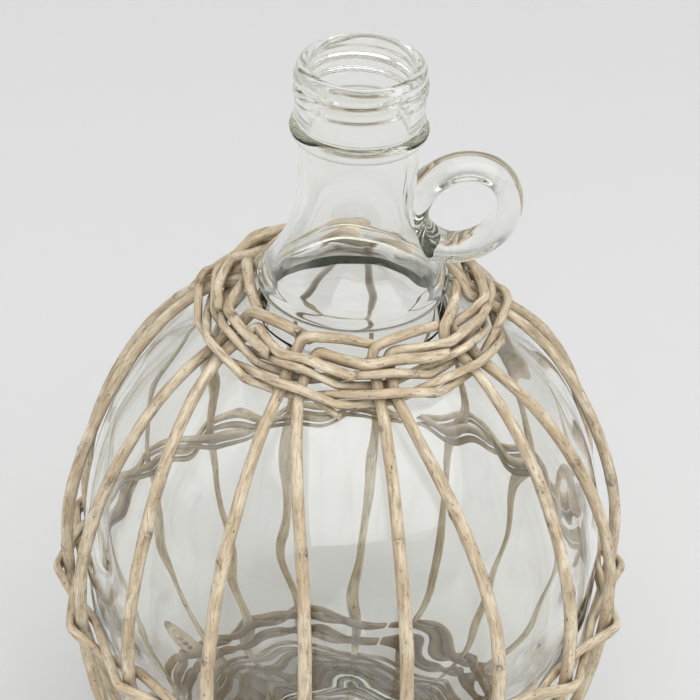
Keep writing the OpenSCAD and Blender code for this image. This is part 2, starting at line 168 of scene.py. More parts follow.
def turned_piece(name, line, around, shape=None):
    """Turns an outline that starts and ends on the axis, or a ring outline that closes on itself, about the axis."""
    on_axis = line[0][0] < 1e-6
    ring = line[1:-1] if on_axis else line
    bearing = np.arange(around) * 2 * math.pi / around
    r = np.repeat(ring[:, 0][:, None], around, 1)
    z = np.repeat(ring[:, 1][:, None], around, 1)
    if shape:
        r, z = shape(r, z, np.broadcast_to(bearing, r.shape))
    verts = np.stack([r * np.cos(bearing), r * np.sin(bearing), z], -1).reshape(-1, 3).tolist()
    rows = len(ring)
    faces = []
    for i in range(rows - 1 if on_axis else rows):
        j = (i + 1) % rows
        for k in range(around):
            n = (k + 1) % around
            faces.append((i * around + k, i * around + n, j * around + n, j * around + k))
    if on_axis:
        verts += [[0, 0, line[0][1]], [0, 0, line[-1][1]]]
        low, top = len(verts) - 2, len(verts) - 1
        for k in range(around):
            n = (k + 1) % around
            faces.append((low, n, k))
            faces.append((top, (rows - 1) * around + k, (rows - 1) * around + n))
    return mesh_piece(name, verts, faces)


outer_line, inner_line = outline(False), outline(True)
outer_rows = len(outer_line)


def eased(share):
    """A share that is held between 0 and 1 and leaves and reaches them softly."""
    share = np.clip(share, 0, 1)
    return share * share * (3 - 2 * share)


def finish_shape(bearing, z):
    """How far the screw finish stands out past its own radius. The thread has two turns that rise to the right. Each
    is a wide rounded ridge over a narrow groove, and the plain band under the last groove is nearly as wide."""
    laps, climb, low, run_out = 2, 4.4, -12.05, 0.09
    band_more, band_edge = 0.6, 0.9
    ridge_high, ridge_rise, ridge_flat, ridge_fall = 0.55, 0.6, 1.5, 2.4
    groove_deep, groove_under, groove_over = 0.8, 0.8, 0.34
    depth = z - rim
    lip = np.clip(-depth / lip_outside, 0, 1)
    slim_top = 0.65 + 0.35 * np.clip((-depth - 2) / 3, 0, 1)
    more = band_more * eased((depth + finish_drop) / band_edge) * slim_top * eased(lip)
    for lap in range(laps):
        t = bearing / (2 * math.pi) + lap
        up = depth - low - climb * t
        ridge = ridge_high * eased(up / ridge_rise) * (1 - eased((up - ridge_flat) / ridge_fall))
        groove = groove_deep * np.exp(-(up / np.where(up < 0, groove_under, groove_over)) ** 2)
        more = more + eased(np.minimum(t, laps - t) / run_out) * lip * (ridge - groove)
    return more


def held_between(z, low, low_run, top, top_run):
    """0 outside two heights and 1 between them, reached over a run from each."""
    return np.clip((z - low) / low_run, 0, 1) * np.clip((top - z) / top_run, 0, 1)


def swell(bearing, z, waves):
    """Waves in the glass, added up. Each has a height, its number round the bottle, its climb and its start."""
    return sum(high * np.sin(count * bearing + climb * z + start) for high, count, climb, start in waves)


def blown(r, z, bearing):
    """The unevenness of blown glass: slow swells on the outside and stronger ones on the inside of the wall."""
    slow_out, slow_in, quick_out, quick_in, foot_in = 0.04, 0.17, 0.006, 0.075, 0.13
    inner = np.zeros_like(r)
    inner[outer_rows - 1:] = 1
    body = held_between(z, floor_top + 3, 20, rim - 75, 12)
    slow = swell(bearing, z, [(1, 3, 0.045, 0.6), (0.8, 5, -0.06, 2.1), (0.7, 2, 0.085, 0), (0.5, 7, 0.075, 4.0)])
    quick = swell(bearing, z, [
        (1, 11, 0.19, 1.3), (0.9, -6, 0.24, 0), (0.8, 17, -0.15, 0.4 + 1.5 * np.sin(z * 0.05 + 2 * bearing)),
        (0.5, 9, 0.38, 2 * np.sin(3 * bearing)),
    ])
    r = r + body * (slow * (slow_out + slow_in * inner) + quick * (quick_out + quick_in * inner))
    neck = held_between(z, rim - 66, 10, rim - 24, 6)
    r = r + neck * inner * swell(bearing, z, [(0.15, 2, 0.13, 0), (0.06, 5, -0.2, 0)])
    foot = np.exp(-((z - (rim - 71)) / 7) ** 2)
    r = r + foot * inner * foot_in * swell(bearing, z, [(1, 7, 0.5, 0), (0.7, 13, -0.35, 1), (0.5, 4, 1.1, 0)])
    on_finish = (z > rim - finish_drop) & (inner < 0.5) & (r > finish_r - 1.6)
    return r + np.where(on_finish, finish_shape(bearing % (2 * math.pi), z), 0), z


wall_line = np.concatenate([outer_line, inner_line[::-1]])
bottle = turned_piece("glass_bottle_form", wall_line, 240, blown)

ring_mid, ring_slope = np.array([29.7, rim - 44.9]), 44.0
ring_long, ring_short, ring_thick, ring_wide = 14.5, 12.2, 7.6, 10.4
root_more, root_reach, flat_out, flat_side = 0.16, 14, 0.85, 0.8


def ring_piece():
    """The finger ring's glass: a flat bar bent to a slanted oval, thicker where it was pressed on to the neck."""
    verts, faces = [], []
    around, bar = 168, 44
    slope = deg(ring_slope)
    for i in range(around):
        a = 2 * math.pi * i / around
        along = np.array([ring_long * math.cos(a), ring_short * math.sin(a)])
        out = np.array([math.cos(a) / ring_long, math.sin(a) / ring_short])
        out = out / np.linalg.norm(out)
        turn = np.array([[math.cos(slope), -math.sin(slope)], [math.sin(slope), math.cos(slope)]])
        along, out = ring_mid + turn @ along, turn @ out
        gap = along[0] - np.interp(along[1], neck_heights, neck_line)
        root = 1 + root_more * math.exp(-max(0.0, gap) ** 2 / root_reach)
        for k in range(bar):
            t = 2 * math.pi * k / bar
            c, s = math.cos(t), math.sin(t)
            at = along + out * (ring_thick / 2 * root * math.copysign(abs(c) ** flat_out, c))
            verts.append((at[0], ring_wide / 2 * root * math.copysign(abs(s) ** flat_side, s), at[1]))
    for i in range(around):
        j = (i + 1) % around
        for k in range(bar):
            n = (k + 1) % bar
            faces.append((i * bar + k, i * bar + n, j * bar + n, j * bar + k))
    return mesh_piece("ring_form", verts, faces)


def cut_or_join(piece, other, how):
    step = piece.modifiers.new(how, "BOOLEAN")
    step.operation = how
    step.solver = "EXACT"
    step.object = other
    bpy.context.view_layer.update()
    shaped = bpy.data.meshes.new_from_object(piece.evaluated_get(bpy.context.evaluated_depsgraph_get()))
    piece.modifiers.clear()
    piece.data = shaped
    bpy.data.objects.remove(other)


def face_outward(piece):
    """Turns a closed form's faces outward, which the cut and the join need."""
    made = piece.data
    volume = 0.0
    points = np.empty(len(made.vertices) * 3)
    made.vertices.foreach_get("co", points)
    points = points.reshape(-1, 3)
    made.calc_loop_triangles()
    for tri in made.loop_triangles:
        a, b, c = points[list(tri.vertices)]
        volume += a.dot(np.cross(b, c))
    if volume < 0:
        made.flip_normals()


# The ring's bar ends in the middle of the neck's wall, so a core of the neck is cut away from the bar before the two
# are joined.
neck_heights = np.linspace(rim - 66, rim - straight_top, 44)
outer_neck = outer_line[(outer_line[:, 1] > rim - 68) & (outer_line[:, 1] < rim - 22.4)]
inner_neck = inner_line[(inner_line[:, 1] > rim - 68) & (inner_line[:, 1] < rim - 20)]
neck_line = np.interp(neck_heights, outer_neck[:, 1], outer_neck[:, 0])
mid_r = (neck_line + np.interp(neck_heights, inner_neck[:, 1], inner_neck[:, 0])) / 2
core_line = np.stack([mid_r, neck_heights], -1)
core_line = np.concatenate([[[0, neck_heights[0]]], core_line, [[0, neck_heights[-1]]]])
core = turned_piece("neck_core", core_line, 96)
finger_ring = ring_piece()
for form in (core, finger_ring, bottle):
    face_outward(form)
cut_or_join(finger_ring, core, "DIFFERENCE")
cut_or_join(bottle, finger_ring, "UNION")
bottle.name = "demijohn_glass"
bottle.data.name = "demijohn_glass"
bottle.data.polygons.foreach_set("use_smooth", [True] * len(bottle.data.polygons))
bottle.data.set_sharp_from_angle(angle=deg(38))


def new_material(name):
    made = bpy.data.materials.new(name)
    made.use_nodes = True
    nodes = made.node_tree.nodes
    return made, nodes, made.node_tree.links, nodes["Principled BSDF"]


clear_glass, nodes, links, surface = new_material("clear_glass")
surface.inputs["Base Color"].default_value = (0.992, 0.991, 0.977, 1)
surface.inputs["Transmission Weight"].default_value = 1.0
surface.inputs["Roughness"].default_value = 0.0
surface.inputs["IOR"].default_value = 1.5
shade = nodes.new("ShaderNodeLightPath")
light_through = nodes.new("ShaderNodeBsdfTransparent")
light_through.inputs["Color"].default_value = (0.92, 0.93, 0.92, 1)
choose = nodes.new("ShaderNodeMixShader")
links.new(shade.outputs["Is Shadow Ray"], choose.inputs["Fac"])
links.new(surface.outputs["BSDF"], choose.inputs[1])
links.new(light_through.outputs["BSDF"], choose.inputs[2])
links.new(choose.outputs["Shader"], nodes["Material Output"].inputs["Surface"])
depth_tint = nodes.new("ShaderNodeVolumeAbsorption")
depth_tint.inputs["Color"].default_value = (0.58, 0.64, 0.38, 1)
depth_tint.inputs["Density"].default_value = 8
links.new(depth_tint.outputs["Volume"], nodes["Material Output"].inputs["Volume"])
bottle.data.materials.clear()
bottle.data.materials.append(clear_glass)
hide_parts("glass_bottle")
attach(bottle, "root")

# Stakes: eighteen rods of peeled willow in nine pairs. They come up from the woven floor, run over the belly and
# the shoulder, and close in to pairs at the collar. Above it the right one of each pair folds down to the right,
# outside the next pair, and the left one lies along the neck foot until it ends under the next of its kind.
pairs = 9
pitch = 360 / pairs
stake_r, tip_r, rod_gap = 1.85, 1.5, 0.3
foot_r, taper, back_thinner, collar_r = 1.95, 0.27, 0.16, 1.62
low_r, low_end_r, ring_rod_r, ring_end_r = 1.68, 1.42, 1.82, 1.55
weaver_r = 1.3
band_r, band_thin_r = 1.7, 1.2
stake_off = 2 * weaver_r + 2 * rod_gap + stake_r
band_off = 2 * band_r + 2 * rod_gap + stake_r
row_pitch = 2 * (2 * weaver_r + rod_gap)
first_bearing, cage_twist, pair_space, settle = -16.0, 8.0, 4.7, 2.2
floor_hole_r = 19
pair_shift = np.array([0.06, -0.04, -0.01, 0.07, 0.1, 0.1, 0.07, 0, 0.12])


def skin_rate(u):
    """Millimetres of glass in one degree of level."""
    rise = shoulder_rise if u > 0 else belly_drop
    return math.hypot(body_r * math.sin(deg(u)), rise * math.cos(deg(u))) * math.pi / 180


# The levels of the collar, the belly band and the heel wall: the first a run along the glass below the neck foot, the
# second a drop below the widest level, and the third a run above the place where the heel starts.
collar_run, band_drop, heel_run = 15, 16.4, 2.5
foot_u = math.degrees(math.acos(neck_foot_r / body_r))
collar_u = foot_u - collar_run / skin_rate(foot_u)
band_u = -math.degrees(math.asin(band_drop / belly_drop))
heel_u = -heel_angle + heel_run / skin_rate(-heel_angle)
heel_top_u = heel_u + row_pitch / skin_rate(heel_u)


def collar_level(rows):
    return collar_u + rows * row_pitch / skin_rate(collar_u)


def collar_bearing(p):
    return first_bearing + p * pitch - cage_twist + pitch * pair_shift[int(p) % pairs]


def collar_between(q):
    """Bearing of a place at the collar that is counted in pairs, between two pairs as well."""
    p = math.floor(q)
    return collar_bearing(p) + (collar_bearing(p + 1) - collar_bearing(p)) * (q - p)


def side_angle(r):
    return math.degrees(math.asin(pair_space / 2 / r))


def stake_bearing(p, hand, u):
    """Bearing of the left or right stake of pair p at level u: evenly spaced below, side by side at the collar."""
    if u > collar_u:
        return collar_bearing(p) + hand * side_angle(skin_off(u, stake_off)[0])
    share = (max(0, u) / collar_u) ** 2
    belly = first_bearing + p * pitch
    close = side_angle(skin_off(collar_u, stake_off)[0])
    return belly + (collar_bearing(p) - belly) * share + hand * (pitch / 4 + (close - pitch / 4) * share)


def stake_lift(u):
    """How far a stake's middle stands off the glass: further at the belly band, which passes inside it."""
    if u > collar_u:
        return stake_off
    if u > band_u:
        share = (collar_u - u) / (collar_u - band_u)
        return stake_off + (band_off - stake_off) * share - settle * math.sin(math.pi * share) ** 2
    if u > heel_top_u:
        return band_off + (stake_off - band_off) * (band_u - u) / (band_u - heel_top_u)
    return stake_off


def place(bearing, at):
    """Turns a distance from the axis and a height into a point. Bearing 0 faces the camera."""
    return np.array([at[0] * math.sin(deg(bearing)), -at[0] * math.cos(deg(bearing)), at[1]])


def rod_point(bearing, u, off, r):
    return (place(bearing, skin_off(u, off)), place(bearing, skin_out(u)), r)


border_off = stake_off + stake_r + rod_gap + tip_r
border_r = neck_foot_r + rod_gap + tip_r
border_z = widest + shoulder_rise * math.sqrt(1 - (border_r / body_r) ** 2) + stake_off + tip_r
# A low course's rows hold the turn in pair spacings, the level in collar rows, and how far out the rod lies.
low_course = [
    (0.1, 1.5, 1), (0.1, 1.92, 0.96), (0.16, 2.2, 1.0), (0.5, 1.84, 1.35), (0.8, 1.36, 1.98), (1.12, 1.38, 2.08),
    (1.4, 1.24, 2.0), (1.68, 1.02, 1.7),
]
# A ring course's rows hold the turn, the level it has left the collar by, its share of the way to the neck foot,
# its lift there in rod thicknesses, and its reach past the neck foot.
ring_course = [
    (-0.1, 1.5, 0, 0, 0), (-0.11, 1.9, 0, 0, 0), (-0.07, 2.2, 0.7, 0.35, 2.8), (0.03, 2.4, 1, 0.45, 2.6),
    (0.5, 2.5, 1, 0.4, 0.35), (0.98, 2.5, 1, -0.12, 0.8),
]
ring_climb = [0.12, 0.05, 0, -0.1, 0.08, 0.15, -0.05, 0, -0.15]


def stake_route(number):
    """A stake's way from the floor's middle up to the collar, and on along its course in the border."""
    p, right = divmod(number, 2)
    hand = 1 if right else -1
    over_collar = collar_level(1.3)
    levels = np.concatenate([
        floor_u - np.linspace(heel_mid[0] - floor_hole_r, 2, 8), np.linspace(floor_u, -heel_angle, 12),
        np.linspace(heel_u, band_u, 14), np.linspace(band_u, collar_u, 26)[1:], [collar_level(0.5), collar_level(1)],
    ])
    route = []
    thinner = 1 - back_thinner * math.sin(deg(first_bearing + p * pitch) / 2) ** 2
    for u in levels:
        r = (foot_r - taper * max(0.0, u / collar_u) ** 1.5) * thinner
        route.append(rod_point(stake_bearing(p, hand, u), u, stake_lift(u), r))
    route.append(rod_point(stake_bearing(p, hand, over_collar), over_collar, stake_off, collar_r))
    # The border is laid by hand, so each rod slips and climbs a little in its own way.
    course = low_course if right else ring_course
    dice = np.random.default_rng(700 + number)
    stout = dice.uniform(0.92, 1.08)
    slip, climb = dice.uniform(-0.05, 0.05), dice.uniform(-0.09, 0.09)
    for i, row in enumerate(course):
        loose = min(1, i / 4)
        bearing = collar_between(p + row[0] + loose * slip)
        if right:
            r = stout * (low_r + (low_end_r - low_r) * i / (len(course) - 1))
            off = stake_off + (border_off - stake_off) * (row[2] - 1)
            level = row[1] + loose * (climb + dice.uniform(-0.07, 0.07))
            route.append(rod_point(bearing, collar_level(level), off, r))
        else:
            r = stout * (ring_rod_r + (ring_end_r - ring_rod_r) * i / (len(course) - 1))
            line = skin_off(collar_level(row[1]), stake_off)
            lift = row[3] + row[2] * ring_climb[p] + loose * dice.uniform(-0.07, 0.07)
            lifted = np.array([border_r + row[4], border_z + lift * (2 * tip_r + rod_gap)])
            at = line + (lifted - line) * row[2]
            route.append((place(bearing, at), place(bearing, skin_out(collar_u)), r))
    return route


def bent_line(route, bend, step):
    """A rod's line through its route: straight from bend to bend, each bend rounded, with points a step apart."""
    route = np.array([np.concatenate([q[0], q[1], [q[2]]]) for q in route])
    fine = [route[:1]]
    for i in range(1, len(route) - 1):
        before, after = route[i - 1] - route[i], route[i + 1] - route[i]
        start = route[i] + before * min(bend / np.linalg.norm(before[:3]), 0.48)
        end = route[i] + after * min(bend / np.linalg.norm(after[:3]), 0.48)
        t = np.linspace(0, 1, 7)[:, None]
        fine.append((1 - t) ** 2 * start + 2 * t * (1 - t) * route[i] + t ** 2 * end)
    fine.append(route[-1:])
    fine = np.concatenate(fine)
    s = np.concatenate([[0], np.cumsum(np.linalg.norm(np.diff(fine[:, :3], axis=0), axis=1))])
    even = np.linspace(0, s[-1], max(3, int(s[-1] / step)))
    fine = np.stack([np.interp(even, s, fine[:, k]) for k in range(7)], -1)
    return fine[:, :3], fine[:, 3:6], fine[:, 6], even


def willow_piece(name, routes, bend, step, sides, wander, node_gap, seed):
    """Rods of willow: round bars that change direction a little at each leaf node, with a swelling and a scar there,
    a slightly oval section and slanted cut ends with a dark pith. Each point keeps its place in the rod's own grain,
    how near it is to a scar, the rod's tone, and if it lies on a cut."""
    node_half, node_more, scar_more, bevel, end_dark = 1.5, 0.04, 0.10, 0.07, 0.35
    turn_about = 6.28
    dice = np.random.default_rng(seed)
    verts, faces, grain, marks, tones, cuts = [], [], [], [], [], []
    for route in routes:
        at, out, r, s = bent_line(route, bend, step)
        along = np.gradient(at, axis=0)
        along /= np.linalg.norm(along, axis=1, keepdims=True)
        across = np.cross(along, out)
        across /= np.linalg.norm(across, axis=1, keepdims=True)
        out = np.cross(across, along)
        spots = [dice.uniform(0.2, 0.9) * node_gap]
        while spots[-1] < s[-1]:
            spots.append(spots[-1] + node_gap * dice.uniform(0.6, 1.4))
        spots = np.array(spots)
        knees = np.concatenate([[0], spots])
        drift = dice.uniform(-wander, wander, len(knees))
        drift[0] = drift[-1] = 0
        soft = np.sin(2 * math.pi * s / 37 + dice.uniform(0, turn_about)) + 0.5 * np.sin(2 * math.pi * s / 17)
        at = at + (np.interp(s, knees, drift) + 0.12 * wander * soft)[:, None] * across
        long_swell = 0.025 * np.sin(s / 9 + dice.uniform(0, turn_about))
        short_swell = 0.015 * np.sin(s / 3.1 + dice.uniform(0, turn_about))
        r = r * (1 + long_swell + short_swell)
        oval, turn = dice.uniform(0.02, 0.05), dice.uniform(0, turn_about)
        tone, shift = dice.uniform(0, 1), dice.uniform(0, 400)
        angle = np.arange(sides) * 2 * math.pi / sides
        ring_r = r[:, None] * (1 + oval * np.cos(2 * angle + turn + s[:, None] / 40))
        mark = np.zeros_like(ring_r)
        for spot in spots:
            way = dice.uniform(-1.9, 1.9)
            near = np.exp(-((s[:, None] - spot) / node_half) ** 2)
            facing = (0.5 + 0.5 * np.cos(angle - way)) ** 2
            ring_r = ring_r * (1 + node_more * near + scar_more * near * facing)
            mark = np.maximum(mark, near * (0.12 + 0.88 * facing ** 3) * dice.uniform(0.5, 1))
        ends = np.minimum(s, s[-1] - s)[:, None]
        ring_r = ring_r * (1 - bevel + bevel * np.clip(ends / 0.8, 0, 1))
        mark = np.maximum(mark, end_dark * np.exp(-ends / 0.5))
        rings = (
            at[:, None, :] + ring_r[..., None] * np.cos(angle)[None, :, None] * out[:, None, :]
            + ring_r[..., None] * np.sin(angle)[None, :, None] * across[:, None, :]
        )
        # The knife's cut at the rod's far end leans over, and takes the last three rings along with it.
        slant = np.cos(angle - dice.uniform(0, turn_about))[:, None] * dice.uniform(0.2, 0.6) * r[-1] * along[-1]
        for row, share in ((-3, 0.35), (-2, 0.7), (-1, 1.0)):
            rings[row] += share * slant
        first = len(verts)
        verts += rings.reshape(-1, 3).tolist()
        flat = np.stack([
            r[:, None] * np.cos(angle) + shift, r[:, None] * np.sin(angle), np.repeat(s[:, None], sides, 1) + shift
        ], -1)
        grain += flat.reshape(-1, 3).tolist()
        marks += mark.reshape(-1).tolist()
        tones += [tone] * (len(s) * sides)
        cuts += [0.0] * (len(s) * sides)
        last = len(s) - 1
        for i in range(last):
            for k in range(sides):
                n = (k + 1) % sides
                a, b = first + i * sides, first + (i + 1) * sides
                faces.append((a + k, b + k, b + n, a + n))
        # Each end is closed with rings of cut wood round the pith.
        for row, order in ((0, range(sides)), (last, range(sides - 1, -1, -1))):
            edge = rings[row][list(order)]
            middle = edge.mean(axis=0)
            ring = [first + row * sides + k for k in order]
            for share, dark in ((0.9, 0.0), (0.34, 0.0), (0.26, 0.9), (0.1, 1.0)):
                face_ring = list(range(len(verts), len(verts) + sides))
                verts += (middle + (edge - middle) * share).tolist()
                grain += [[shift + 9 * share, 0.3 * k, shift + 5.0] for k in range(sides)]
                marks += [dark] * sides
                tones += [tone] * sides
                cuts += [1.0] * sides
                for k in range(sides):
                    n = (k + 1) % sides
                    faces.append((ring[k], ring[n], face_ring[n], face_ring[k]))
                ring = face_ring
            faces.append(tuple(ring))
    made = mesh_piece(name, verts, faces)
    made.data.set_sharp_from_angle(angle=deg(52))
    kept_values = (("grain", "FLOAT_VECTOR", grain), ("mark", "FLOAT", marks), ("tone", "FLOAT", tones),
                   ("cut", "FLOAT", cuts))
    for label, kind, data in kept_values:
        kept = made.data.attributes.new(label, kind, "POINT")
        kept.data.foreach_set("vector" if kind == "FLOAT_VECTOR" else "value", np.array(data, float).ravel())
    return made


def ramp(nodes, links, value, start, end, first, last, how="LINEAR"):
    """A value that goes from first to last while the given one goes from start to end."""
    made = nodes.new("ShaderNodeMapRange")
    made.interpolation_type = how
    for label, number in (("From Min", start), ("From Max", end), ("To Min", first), ("To Max", last)):
        made.inputs[label].default_value = number
    links.new(value, made.inputs["Value"])
    return made.outputs["Result"]


def worked_out(nodes, links, how, first, second):
    """Two values put together. Either may be a plain number."""
    made = nodes.new("ShaderNodeMath")
    made.operation = how
    for socket, value in enumerate((first, second)):
        if isinstance(value, (float, int)):
            made.inputs[socket].default_value = value
        else:
            links.new(value, made.inputs[socket])
    return made.outputs["Value"]


def deeper(colour, shares):
    return tuple(part * share for part, share in zip(colour, shares))


def willow(name, pale, tan, brown, worn):
    """Peeled willow that has greyed a little: pale skin over tan wood, brown streaks, fine cracks and dark nodes,
    with painted shade and some dust in the crevices.
    """
    made, nodes, links, surface = new_material(name)

    def kept(label, socket="Fac"):
        value = nodes.new("ShaderNodeAttribute")
        value.attribute_name = label
        return value.outputs[socket]

    def pattern(stretch, detail, low, high, rough=0.6):
        """Clouds that are stretched along the rod's grain, shown from low to high."""
        size = nodes.new("ShaderNodeMapping")
        size.inputs["Scale"].default_value = stretch
        links.new(grain, size.inputs["Vector"])
        cloud = nodes.new("ShaderNodeTexNoise")
        cloud.inputs["Scale"].default_value = 1.0
        cloud.inputs["Detail"].default_value = detail
        cloud.inputs["Roughness"].default_value = rough
        links.new(size.outputs["Vector"], cloud.inputs["Vector"])
        return ramp(nodes, links, cloud.outputs["Fac"], low, high, 0.0, 1.0, "SMOOTHSTEP")

    def laid_over(share, first, second):
        """The first colour with a share of the second on it. Each may be a plain value."""
        mix = nodes.new("ShaderNodeMix")
        mix.data_type = "RGBA"
        for socket, value in ((0, share), (6, first), (7, second)):
            if isinstance(value, (tuple, float, int)):
                mix.inputs[socket].default_value = (*value, 1) if isinstance(value, tuple) else value
            else:
                links.new(value, mix.inputs[socket])
        return mix.outputs[2]

    def times(first, second):
        return worked_out(nodes, links, "MULTIPLY", first, second)

    grain, mark, tone, cut = kept("grain", "Vector"), kept("mark"), kept("tone"), kept("cut")
    mottle = pattern((0.3, 0.3, 0.09), 4, 0.36, 0.62)
    streak = pattern((0.85, 0.85, 0.12), 5, 0.45, 0.72, 0.7)
    hair = pattern((2.2, 2.2, 0.25), 4, 0.52, 0.68, 0.65)
    speck = pattern((1.3, 1.3, 0.5), 3, 0.635, 0.68, 0.65)
    scar = pattern((1.3, 1.3, 1.0), 3, 0.47, 0.56)
    dark = deeper(brown, (0.35, 0.32, 0.3))
    colour = laid_over(mottle, pale, tan)
    colour = laid_over(times(tone, 0.5), colour, tan)
    colour = laid_over(times(streak, 0.58 * worn), colour, brown)
    colour = laid_over(times(hair, 0.46 * worn), colour, brown)
    colour = laid_over(times(speck, 0.8 * worn), colour, dark)
    colour = laid_over(times(mark, 0.45), colour, brown)
    colour = laid_over(times(mark, scar), colour, (0.03, 0.02, 0.013))
    wood = laid_over(times(mark, 0.9), laid_over(speck, pale, tan), dark)
    colour = laid_over(times(cut, 0.9), colour, wood)

    # Painted shade with some dust: the colour darkens to brown in the crevices, where one rod crosses another and
    # shade falls.
    crevice = nodes.new("ShaderNodeAmbientOcclusion")
    crevice.samples = 6
    crevice.inputs["Distance"].default_value = 0.004
    dust_and_painted_shade = ramp(nodes, links, crevice.outputs["AO"], 0.15, 0.85, 0.75, 0.0)
    colour = laid_over(dust_and_painted_shade, colour, deeper(brown, (0.6, 0.55, 0.5)))
    links.new(colour, surface.inputs["Base Color"])
    links.new(ramp(nodes, links, streak, 0.0, 1.0, 0.5, 0.78), surface.inputs["Roughness"])
    surface.inputs["Specular IOR Level"].default_value = 0.4
    relief = worked_out(nodes, links, "ADD", times(streak, -0.15), times(hair, -0.8))
    relief = worked_out(nodes, links, "ADD", relief, times(speck, -0.9))
    bump = nodes.new("ShaderNodeBump")
    bump.inputs["Strength"].default_value = 0.6
    bump.inputs["Distance"].default_value = 0.0002
    links.new(relief, bump.inputs["Height"])
    links.new(bump.outputs["Normal"], surface.inputs["Normal"])
    return made


stake_willow = willow(
    "stake_willow", pale=(0.90, 0.80, 0.62), tan=(0.62, 0.495, 0.33), brown=(0.22, 0.143, 0.075), worn=1.0,
)
for number in range(2 * pairs):
    name = "stake_%02d" % (number + 1)
    rod = willow_piece(
        name + "_rod", [stake_route(number)], bend=2.2, step=0.9, sides=14, wander=0.5, node_gap=46, seed=40 + number,
    )
    rod.data.materials.append(stake_willow)
    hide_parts(name)
    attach(rod, "root")

# Collar: two rows of thin willow, two rods to a row, twined round the pairs of stakes on the shoulder.
# Each rod passes outside one pair and inside the next, and the rods' ends meet at the back.


def twined(bearing_of, posts, start, strand, half_post, u, rate, off_in, off_out, sway, shift, r):
    """A strand's route: flat over a post, then straight past its partner to the inside of the next post, and back."""
    route = [rod_point(bearing_of(start + 0.05), u + shift / rate, (off_in + off_out) / 2, r)]
    for i in range(posts):
        q = math.floor(start) + 1 + i
        outside = (q + strand) % 2 == 0
        off = off_out if outside else off_in
        for edge in (-1, 1):
            route.append(rod_point(bearing_of(q) + edge * half_post, u + shift / rate, off, r))
        if i < posts - 1:
            way = -1 if outside else 1
            level = u + (shift + way * sway) / rate
            bearing = (bearing_of(q) + bearing_of(q + 1)) / 2
            route.append(rod_point(bearing, level, (0.62 * off_in + 0.38 * off_out), r))
    route.append(rod_point(bearing_of(start + posts - 0.05), u + shift / rate, (off_in + off_out) / 2, r))
    return route


weaver_sway = (2 * weaver_r + rod_gap) / 2
weaver_willow = willow(
    "weaver_willow", pale=(0.91, 0.81, 0.63), tan=(0.64, 0.515, 0.35), brown=(0.23, 0.15, 0.08), worn=0.95,
)
for number in range(4):
    row, strand = divmod(number, 2)
    route = twined(
        collar_between, pairs, pairs // 2 + 0.5, strand, half_post=3.4, u=collar_level(row * 0.91),
        rate=skin_rate(collar_u), off_in=rod_gap + weaver_r, off_out=stake_off + stake_r + rod_gap + weaver_r,
        sway=weaver_sway, shift=0, r=1.32 - 0.06 * strand,
    )
    name = "collar_weaver_%d" % (number + 1)
    rod = willow_piece(
        name + "_rod", [route], bend=2.0, step=0.8, sides=12, wander=0.12, node_gap=30, seed=80 + number,
    )
    rod.data.materials.append(weaver_willow)
    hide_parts(name)
    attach(rod, "root")

# Belly band: two pairs of rods, a thick one with a thin one under it, twined round the single stakes.
# It holds the stakes apart under the bottle's widest level.


def stake_between(q):
    return first_bearing - pitch / 4 + q * pitch / 2


band_sway = (2 * band_r + 2 * band_thin_r + 3 * rod_gap) / 2 * 0.65
band_close, back_share, front_reach = 0.75, 0.18, 90
for number in range(4):
    thin = number >= 2
    r = band_thin_r if thin else band_r
    route = twined(
        stake_between, 2 * pairs, pairs + 0.5, number % 2, half_post=0.9, u=band_u, rate=skin_rate(band_u),
        off_in=rod_gap + r, off_out=band_off + stake_r + rod_gap + r - 0.2, sway=band_sway,
        shift=-band_r * band_close if thin else band_thin_r * band_close, r=r,
    )
    # The rods taper from the front to the back, where their thin ends meet.
    name = "belly_weaver_%d" % (number + 1)
    slim = 0.75 if thin else 0.9
    route = [
        (at, out, r * slim * (1 - back_share - back_share * at[1] / front_reach)) for at, out, r in route
    ]
    rod = willow_piece(
        name + "_rod", [route], bend=3.0, step=1.0, sides=12, wander=0.15, node_gap=38, seed=90 + number,
    )
    rod.data.materials.append(weaver_willow)
    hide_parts(name)
    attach(rod, "root")

# Heel wall: two twined rows of the thin willow at the foot of the basket, where the stakes turn up from the floor.
# Its colours are darker and browner than the other willow's: painted shade for the basket's own shade.
floor_willow_painted_shade = willow(
    "floor_willow_painted_shade", pale=(0.60, 0.465, 0.30), tan=(0.40, 0.295, 0.17), brown=(0.12, 0.075, 0.035), worn=1.1,
)
for number in range(4):
    row, strand = divmod(number, 2)
    route = twined(
        stake_between, 2 * pairs, pairs + 0.5, strand, half_post=1.2, u=heel_u + (heel_top_u - heel_u) * row,
        rate=skin_rate(heel_u), off_in=rod_gap + weaver_r, off_out=stake_off + stake_r + rod_gap + weaver_r,
        sway=weaver_sway, shift=0, r=weaver_r,
    )
    name = "heel_weaver_%d" % (number + 1)
    rod = willow_piece(
        name + "_rod", [route], bend=2.4, step=1.4, sides=10, wander=0.1, node_gap=60, seed=100 + number,
    )
    rod.data.materials.append(floor_willow_painted_shade)
    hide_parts(name)
    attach(rod, "root")

# Floor: rounds of thin willow from the hole in the middle up to the heel wall. Each passes over one stake and
# under the next, and the next round does the opposite. The lowest parts are worn flat where the basket stands.
round_pitch = 2 * weaver_r + rod_gap
round_swing = 2 * stake_r + 2 * weaver_r + 2 * rod_gap
flat_rounds = int((heel_mid[0] - floor_hole_r - 2 * weaver_r) // round_pitch)
heel_step = math.degrees(round_pitch / (heel_r + rod_gap + weaver_r))
heel_rounds = int((heel_u - 2 * weaver_r / skin_rate(heel_u) - floor_u) // heel_step)
round_levels = [floor_u - i * round_pitch for i in range(flat_rounds, 0, -1)]
round_levels += [floor_u + i * heel_step for i in range(heel_rounds)]


